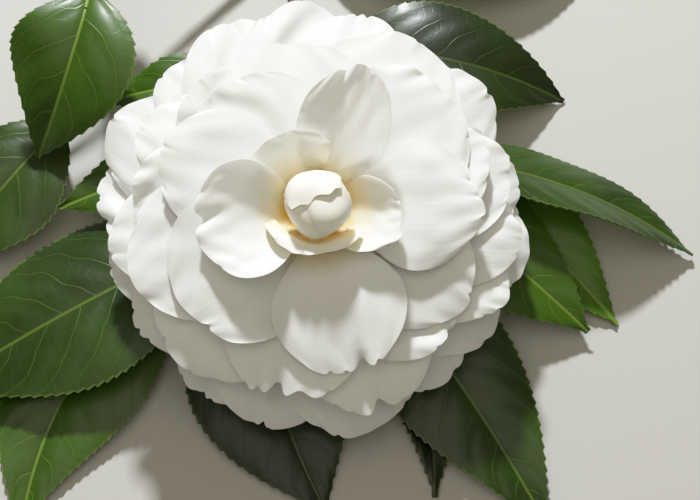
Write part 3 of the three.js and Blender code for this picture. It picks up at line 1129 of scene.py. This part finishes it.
def catmull_rom(path: tuple[Point, ...], count: int) -> np.ndarray:
    """Points at even steps along a centripetal curve through a path.

    Args:
        path: The points it passes.
        count: How many points are wanted.

    Returns:
        The points.
    """
    knots = np.array(path, dtype=float)
    knots = np.vstack([2 * knots[0] - knots[1], knots, 2 * knots[-1] - knots[-2]])
    fine = []
    for k in range(1, len(knots) - 2):
        p0, p1, p2, p3 = knots[k - 1 : k + 3]
        d0, d1, d2 = (np.sum((b - a) ** 2) ** 0.25 for a, b in ((p0, p1), (p1, p2), (p2, p3)))
        m1 = ((p1 - p0) / d0 - (p2 - p0) / (d0 + d1) + (p2 - p1) / d1) * d1
        m2 = ((p2 - p1) / d1 - (p3 - p1) / (d1 + d2) + (p3 - p2) / d2) * d1
        t = np.linspace(0, 1, 200)[:, None]
        squared, cubed = 3 * (p2 - p1) - 2 * m1 - m2, 2 * (p1 - p2) + m1 + m2
        fine.append(p1 + m1 * t + squared * t**2 + cubed * t**3)
    return even_steps(np.vstack(fine), count)


def even_steps(points: np.ndarray, count: int) -> np.ndarray:
    """Points at even steps along a line of many points.

    Args:
        points: The line.
        count: How many points are wanted.

    Returns:
        The points.
    """
    lengths = np.concatenate([[0], np.cumsum(np.linalg.norm(np.diff(points, axis=0), axis=1))])
    wanted = np.linspace(0, lengths[-1], count)
    return np.stack([np.interp(wanted, lengths, points[:, k]) for k in range(3)], axis=1)


def arc(
    start: np.ndarray, drawn_to: np.ndarray, finish: np.ndarray, share: np.ndarray
) -> tuple[np.ndarray, np.ndarray]:
    """Points along a curve that bends in one way.

    Args:
        start: Where it starts.
        drawn_to: What it is drawn towards.
        finish: Where it ends.
        share: The shares of the way along it.

    Returns:
        The points and the unit directions.
    """
    t = share[..., None]
    points = (1 - t) ** 2 * start + 2 * t * (1 - t) * drawn_to + t * t * finish
    ways = (1 - t) * (drawn_to - start) + t * (finish - drawn_to)
    return points, ways / np.linalg.norm(ways, axis=-1, keepdims=True)


def limb(
    line: np.ndarray, radius: Callable[[float, float, Vector], float], sides: int
) -> bpy.types.Object:
    """A limb: a disc extruded along a line, each ring then set square to it.

    Args:
        line: The middle line, at even steps, in millimetres.
        radius: Gives the radius for a share of the way, an angle and a point.
        sides: The sides of the limb.

    Returns:
        The limb, closed at both ends.
    """
    pick()
    bpy.ops.mesh.primitive_circle_add(vertices=sides, radius=MM, fill_type="NGON")
    tube = bpy.context.object
    with shaping():
        for _ in range(len(line) - 1):
            bpy.ops.mesh.extrude_region_move(TRANSFORM_OT_translate={"value": (0, 0, MM)})
    ways = np.gradient(line, axis=0)
    ways /= np.linalg.norm(ways, axis=1, keepdims=True)
    side = np.cross(ways[0], [0.3, 0.9, 0.1])
    points = []
    for k, (middle, way) in enumerate(zip(line, ways)):
        side = side - way * (side @ way)
        side /= np.linalg.norm(side)
        other = np.cross(way, side)
        share = k / (len(line) - 1)
        for corner in range(sides):
            angle = 2 * math.pi * corner / sides
            out = side * math.cos(angle) + other * math.sin(angle)
            points.append(middle + out * radius(share, angle, Vector(middle + out)))
    # The swellings of a twig that lies on the plane stay above it
    points = np.array(points)
    points[:, 2] = np.maximum(points[:, 2], ORIGIN[2])
    draw_points(tube, points)
    with shaping():
        bpy.ops.mesh.normals_make_consistent(inside=False)
    return tube


@dataclass
class Wood:
    """The twig and its side shoots, with ridged bark and a swelling at each old leaf scar."""

    sides: int = 20
    step: float = 1.0
    scar_every: float = 24.0
    swelling: float = 0.16
    ridges: float = 0.05
    limbs: tuple[tuple[tuple[Point, ...], tuple[float, float]], ...] = (
        (
            ((-0.45, 2.1, 22.2), (-0.8, 4.5, 15), (-1.5, 13, 8), (-2.5, 30, 4), (-6, 70, 2.6),
             (-16, 148, 2.3)),
            (1.5, 2.3),
        ),
        (
            ((-10, 95, 2.6), (-28, 92, 16), (-48, 84, 29), (-62, 70, 33), (-70, 52, 22),
             (-72, 40, 13)),
            (1.6, 1.0),
        ),
        (((-1.3, 11, 9.2), (-12, 8, 8.5), (-24, 1, 8)), (1.3, 0.9)),
        (((-2.6, 32, 3.9), (10, 34, 8.5), (25, 30, 10)), (1.3, 0.9)),
    )

    def twig(self, path: tuple[Point, ...], radii: tuple[float, float]) -> bpy.types.Object:
        """Makes one twig.

        Args:
            path: The points of its path.
            radii: Its radii at start and end.

        Returns:
            The twig.
        """
        rough = catmull_rom(path, 400)
        length = float(np.sum(np.linalg.norm(np.diff(rough, axis=0), axis=1)))
        line = catmull_rom(path, max(12, round(length / self.step)))

        def radius(share: float, angle: float, point: Vector) -> float:
            """Gives the radius with ridges and swellings.

            Args:
                share: The share of the way along the twig.
                angle: The angle round it.
                point: The point beside its middle line.

            Returns:
                The radius in millimetres.
            """
            base = radii[0] + (radii[1] - radii[0]) * share
            scar = (share * length / self.scar_every) % 1
            swelling = self.swelling * float(hump((scar - 0.5) * self.scar_every, 0, 1.6))
            grain = Vector((point.x * 0.9, point.y * 0.35, point.z * 0.9))
            ridges = self.ridges * noise.noise(grain)
            return base * (1 + swelling + ridges)

        return limb(line, radius, self.sides)

    def build(self, finish: bpy.types.Material) -> None:
        """Makes the wood and hands it over.

        Args:
            finish: The bark.
        """
        twigs = [self.twig(path, radii) for path, radii in self.limbs]
        for twig in twigs:
            twig.data.materials.append(finish)
        hand_over(joined(twigs, "twig_bark", sharp=60), "twig_wood")


@dataclass
class Leaf:
    """One leaf with its stalk, told as in the frame, in millimetres and degrees."""

    name: str
    stem: Point
    foot: Point
    tip: Point
    width: float
    rise: float
    bow: float
    roll: float
    tone: LeafTone

    THICK = 0.5
    # The least height of the middle surface above the plane on which the branch lies
    REST = 0.45
    WIDEST = 0.45
    TOOTH = 0.75
    TOOTH_EVERY = 2.6
    # How steeply the halves rise from the midrib, and how soon they droop again
    FOLD, DROOP = 0.2, 0.012
    # Heights of the swelling between the veins, of the midrib's groove and of the rim's waves
    SWELL, GROOVE, WAVE = 0.22, 0.3, 0.7
    # By how much the veins of the right half start further on
    SHIFT = 4.7
    # The columns of the blade stand a little closer together at the midrib
    COLUMNS, CROWDING, ROWS_PER_TOOTH = 27, 1.15, 6
    # The stalk's rings and sides, and the share of the midrib that it runs on under
    RINGS, SIDES, UNDER = 18, 12, 0.12

    def length(self) -> float:
        """The straight way from foot to tip."""
        return math.dist(self.foot, self.tip)

    def midline(self, v: np.ndarray) -> tuple[np.ndarray, np.ndarray]:
        """The midline.

        Args:
            v: The shares of the way along it.

        Returns:
            The points and the unit directions.
        """
        start, finish = np.array(self.foot, float), np.array(self.tip, float)
        left = np.cross(UP, finish - start)
        left /= np.linalg.norm(left)
        middle = (start + finish) / 2 + UP * 2 * self.rise + left * 2 * self.bow
        return arc(start, middle, finish, v)

    def surface(self, u: np.ndarray, v: np.ndarray) -> tuple[np.ndarray, np.ndarray]:
        """The middle surface: egg-shaped with a drawn-out tip, folded at the midrib, toothed.

        Args:
            u: From -1 to 1 across.
            v: From 0 to 1 along.

        Returns:
            The points, and how far across each lies.
        """
        draw = random.Random(f"{SEED}{self.name}")
        on, way = self.midline(v)
        length = self.length()
        level = np.cross(way, UP)
        level /= np.linalg.norm(level, axis=-1, keepdims=True)
        facing = np.cross(level, way)
        roll = math.radians(self.roll)
        sideways = level * math.cos(roll) + facing * math.sin(roll)
        normal = facing * math.cos(roll) - level * math.sin(roll)
        before = np.sin(np.pi / 2 * np.minimum(v / self.WIDEST, 1)) ** 0.75
        after = np.maximum((v - self.WIDEST) / (1 - self.WIDEST), 0)
        beyond = np.maximum(np.cos(np.pi / 2 * after), 0) ** 1.1
        teeth = round(length / self.TOOTH_EVERY)
        saw = (v * teeth + 0.25 * np.sign(u)) % 1
        tooth = self.TOOTH * saw**1.3 * np.abs(u) ** 6
        tooth = tooth * np.clip(v * 8, 0, 1) * np.clip((1 - v) * 12, 0, 1)
        half = np.maximum(0.7, self.width / 2 * before * beyond) + tooth
        across = u * half
        lift = self.FOLD * np.abs(across) - self.DROOP * across * across
        # The blade swells between its side veins, sinks along the midrib and waves at the rim
        arch = v * length - VEIN_SLOPE * np.abs(across) - VEIN_TURN * u**4
        arch = arch + self.SHIFT * (u > 0)
        swell = self.SWELL * np.abs(np.sin(np.pi * arch / VEIN_PITCH))
        swell = swell * np.clip(np.abs(across) / 4, 0, 1) * np.clip((1 - np.abs(u)) * 5, 0, 1)
        groove = self.GROOVE * hump(across, 0, 0.9) * (1 - v)
        waves = np.sin(v * draw.uniform(9, 13) + draw.uniform(0, TURN) + np.sign(u))
        waves = self.WAVE * u * u * waves * np.clip(v * 4, 0, 1)
        lift = lift + swell - groove + waves
        points = on + sideways * across[..., None] + normal * lift[..., None]
        points[..., 2] = np.maximum(points[..., 2], self.REST)
        return points, across

    def build(self, upper: bpy.types.Material, under: bpy.types.Material) -> None:
        """Makes the leaf and hands it over.

        Args:
            upper: The finish of the upper side.
            under: The finish of the underside and the stalk.
        """
        length = self.length()
        rows = round(length / self.TOOTH_EVERY) * self.ROWS_PER_TOOTH + 1
        spacing = np.linspace(-1, 1, self.COLUMNS)
        spacing = np.sign(spacing) * np.abs(spacing) ** self.CROWDING
        u, v = np.meshgrid(spacing, np.linspace(0, 1, rows))
        points, across = self.surface(u, v)
        sheet = blade(points, (across, v * length, np.abs(u)), self.THICK, [upper, under])
        # The stalk bends at the foot and runs on under the midrib for a short way
        inside, _ = self.midline(np.array([self.UNDER]))
        line, _ = arc(
            np.array(self.stem), np.array(self.foot), inside[0], np.linspace(0, 1, self.RINGS)
        )
        line = even_steps(line, self.RINGS)
        stalk = limb(line, lambda share, angle, point: 1 - 0.5 * share, self.SIDES)
        stalk.data.materials.append(under)
        hand_over(joined([sheet, stalk], f"{self.name}_blade"), self.name)


DEEP, FULL, FRESH, BRIGHT = LeafTone

# The tones paint light and shade as well as green: the darkest on leaves that lie in shadow, the
# brightest on the sunlit one
LEAVES = (
    Leaf("leaf_far_left", (-50, 85, 30), (-53, 93, 33), (-66, 65, 16), 26, 13, 0, 0, FULL),
    Leaf("leaf_upper_left", (-60, 71, 33), (-60, 61, 35), (-75, 22.5, 14), 34, 8, 3, 0, FRESH),
    Leaf("leaf_middle_left", (-72, 40, 13), (-70, 34, 10), (-102, -6, 0.5), 32, 5, 0, 0, FULL),
    Leaf("leaf_large_left", (-17, 5, 8.4), (-26, 0, 12.5), (-102, -40, 0.5), 45, 5, 0, -10, FULL),
    Leaf("leaf_lower_left", (-24, 0, 8), (-35, -6, 4.6), (-75, -75, 0.5), 37, 1.5, -9, 0, FRESH),
    Leaf("leaf_behind_left", (-2.5, 26, 5), (-14, 27, 15), (-69, 9, 11), 24, 3, 0, 0, FRESH),
    Leaf("leaf_small_left", (-3, 38, 4.5), (-14, 42, 19), (-57, 37, 18), 18, 5, 0, 0, FRESH),
    Leaf("leaf_bottom", (-12, 9, 8), (-19, -4, 6), (3, -71, 0.5), 44, 1, -3, 0, DEEP),
    Leaf("leaf_large_right", (0, 6, 13), (9, 1, 8), (60, -75, 0.5), 36, 2, 2, 0, FULL),
    Leaf("leaf_small_bottom", (0, 9, 10), (10, -2, 4), (31, -67, 0.5), 18, 0, 6, 0, DEEP),
    Leaf("leaf_right", (20, 31, 10), (19, 20, 14), (72.5, -23.5, 4), 32, 4, 0, 0, FRESH),
    Leaf("leaf_behind_right", (25, 30, 10), (34, 32, 9), (81, -20.5, 0.5), 26, 2, 0, 0, BRIGHT),
    Leaf("leaf_long_right", (23, 30.5, 10), (30, 20, 18.5), (102.5, -1, 2), 24, 5, 4, 35, FULL),
    Leaf("leaf_upper_right", (-4, 55, 4.5), (4, 58, 8), (70, 46, 0.5), 34, 10, 0, 0, DEEP),
    Leaf("leaf_far_right", (-8, 88, 4.5), (0, 94, 8), (82, 88, 0.5), 33, 9, 0, 0, DEEP),
)


# The studio


@dataclass
class Studio:
    """A pale floor, soft lights and the camera at the photograph's angle, in millimetres."""

    eye: Point = (9.02, -166.187, 359.401)
    aim: Point = (9.02, -53.32, 49.303)
    bloom: Point = (0.0, -30.0, 40.0)
    lens: float = 71.62
    white: float = 1.68
    shoulder: tuple[tuple[float, float], ...] = ((0.35, 0.52), (0.65, 0.83))

    @staticmethod
    def stand(holder: bpy.types.Object, at: Vector, target: Vector) -> None:
        """Puts a lamp or the camera in its place and turns it to a target.

        Args:
            holder: The lamp or the camera.
            at: Its place.
            target: What it looks at.
        """
        bpy.context.scene.collection.objects.link(holder)
        holder.location = at
        holder.rotation_euler = (target - at).to_track_quat("-Z", "Y").to_euler()

    def light(self, name: str, at: Point, size: float, power: float, colour: str) -> None:
        """Adds one soft light that looks at the bloom.

        Args:
            name: Its name.
            at: Its place in metres.
            size: Its width in metres.
            power: Its power in watts.
            colour: Its colour.
        """
        lamp = bpy.data.lights.new(name, "AREA")
        lamp.shape = "DISK"
        lamp.size = size
        lamp.energy = power
        lamp.color = linear(colour)[:3]
        self.stand(bpy.data.objects.new(name, lamp), Vector(at), Vector(self.bloom) * MM)

    def build(self) -> None:
        """Makes the camera, the floor and the lights."""
        scene = bpy.context.scene
        camera = bpy.data.objects.new("camera", bpy.data.cameras.new("camera"))
        camera.data.sensor_width = 36
        camera.data.lens = self.lens
        camera.data.clip_start = 0.01
        self.stand(camera, Vector(self.eye) * MM, Vector(self.aim) * MM)
        scene.camera = camera

        pick()
        bpy.ops.mesh.primitive_plane_add(size=6, location=(0, 0, -0.2 * MM))
        floor = bpy.context.object
        floor.name = "studio_floor"
        look = {"Base Color": linear("#b8b7b3"), "Roughness": 0.9}
        paper, _, _ = start_finish("studio_paper_matt", look)
        floor.data.materials.append(paper)

        self.light("key_light", (-0.08, 0.61, 0.62), 0.08, 13.8, "#fafdff")
        self.light("fill_light", (-0.05, -0.1, 0.95), 0.9, 2.7, "#fcf4e0")
        world = bpy.data.worlds.new("soft_room")
        world.use_nodes = True
        sky = world.node_tree.nodes["Background"].inputs
        sky["Color"].default_value, sky["Strength"].default_value = linear("#f5ecd2"), 0.22
        scene.world = world
        # Like a camera's film, the picture holds back its brightest tones
        scene.view_settings.view_transform = "Standard"
        scene.view_settings.use_curve_mapping = True
        tones = scene.view_settings.curve_mapping
        tones.white_level = (self.white, self.white, self.white)
        for dark, shown in self.shoulder:
            tones.curves[3].points.new(dark, shown)
        tones.update()


def main() -> None:
    """Builds the bloom, the wood, the leaves and the studio in order."""
    logging.basicConfig(level=logging.INFO, format="%(name)s: %(message)s")
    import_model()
    Studio().build()
    place = BloomPlace()
    flesh = PetalFlesh("petal_living_white").material(place)
    heart_flesh = PetalFlesh("petal_living_cream", white="#f5f4ec").material(place)
    Bloom(place).build(flesh, heart_flesh)
    # The bud's white is painted brighter and warmer than the petals', painted light standing in
    # for the light that shines through its shaded front
    bud_flesh = PetalFlesh("bud_living_cream", "#fffbec", painted_glow_to=12.5, depth=0.0015, soft=0.2)
    Bud(place).build(bud_flesh.material(place))
    sepal = PlainTissue("sepal_living_silky", "#5d6a30", "#8a8f55", 0.65, 2.0)
    Calyx(place).build(sepal.material())
    bark = PlainTissue("bark_young_twig", "#54402c", "#8a7152", 0.85, 1.2)
    Wood().build(bark.material())
    under = PlainTissue("leaf_underside_matt", "#6c7f3e", "#7d8f4a", 0.6, 6.0).material()
    uppers = {tone: LeafCuticle(tone).material() for tone in LeafTone}
    for leaf in LEAVES:
        leaf.build(uppers[leaf.tone], under)


if __name__ == "__main__":
    main()
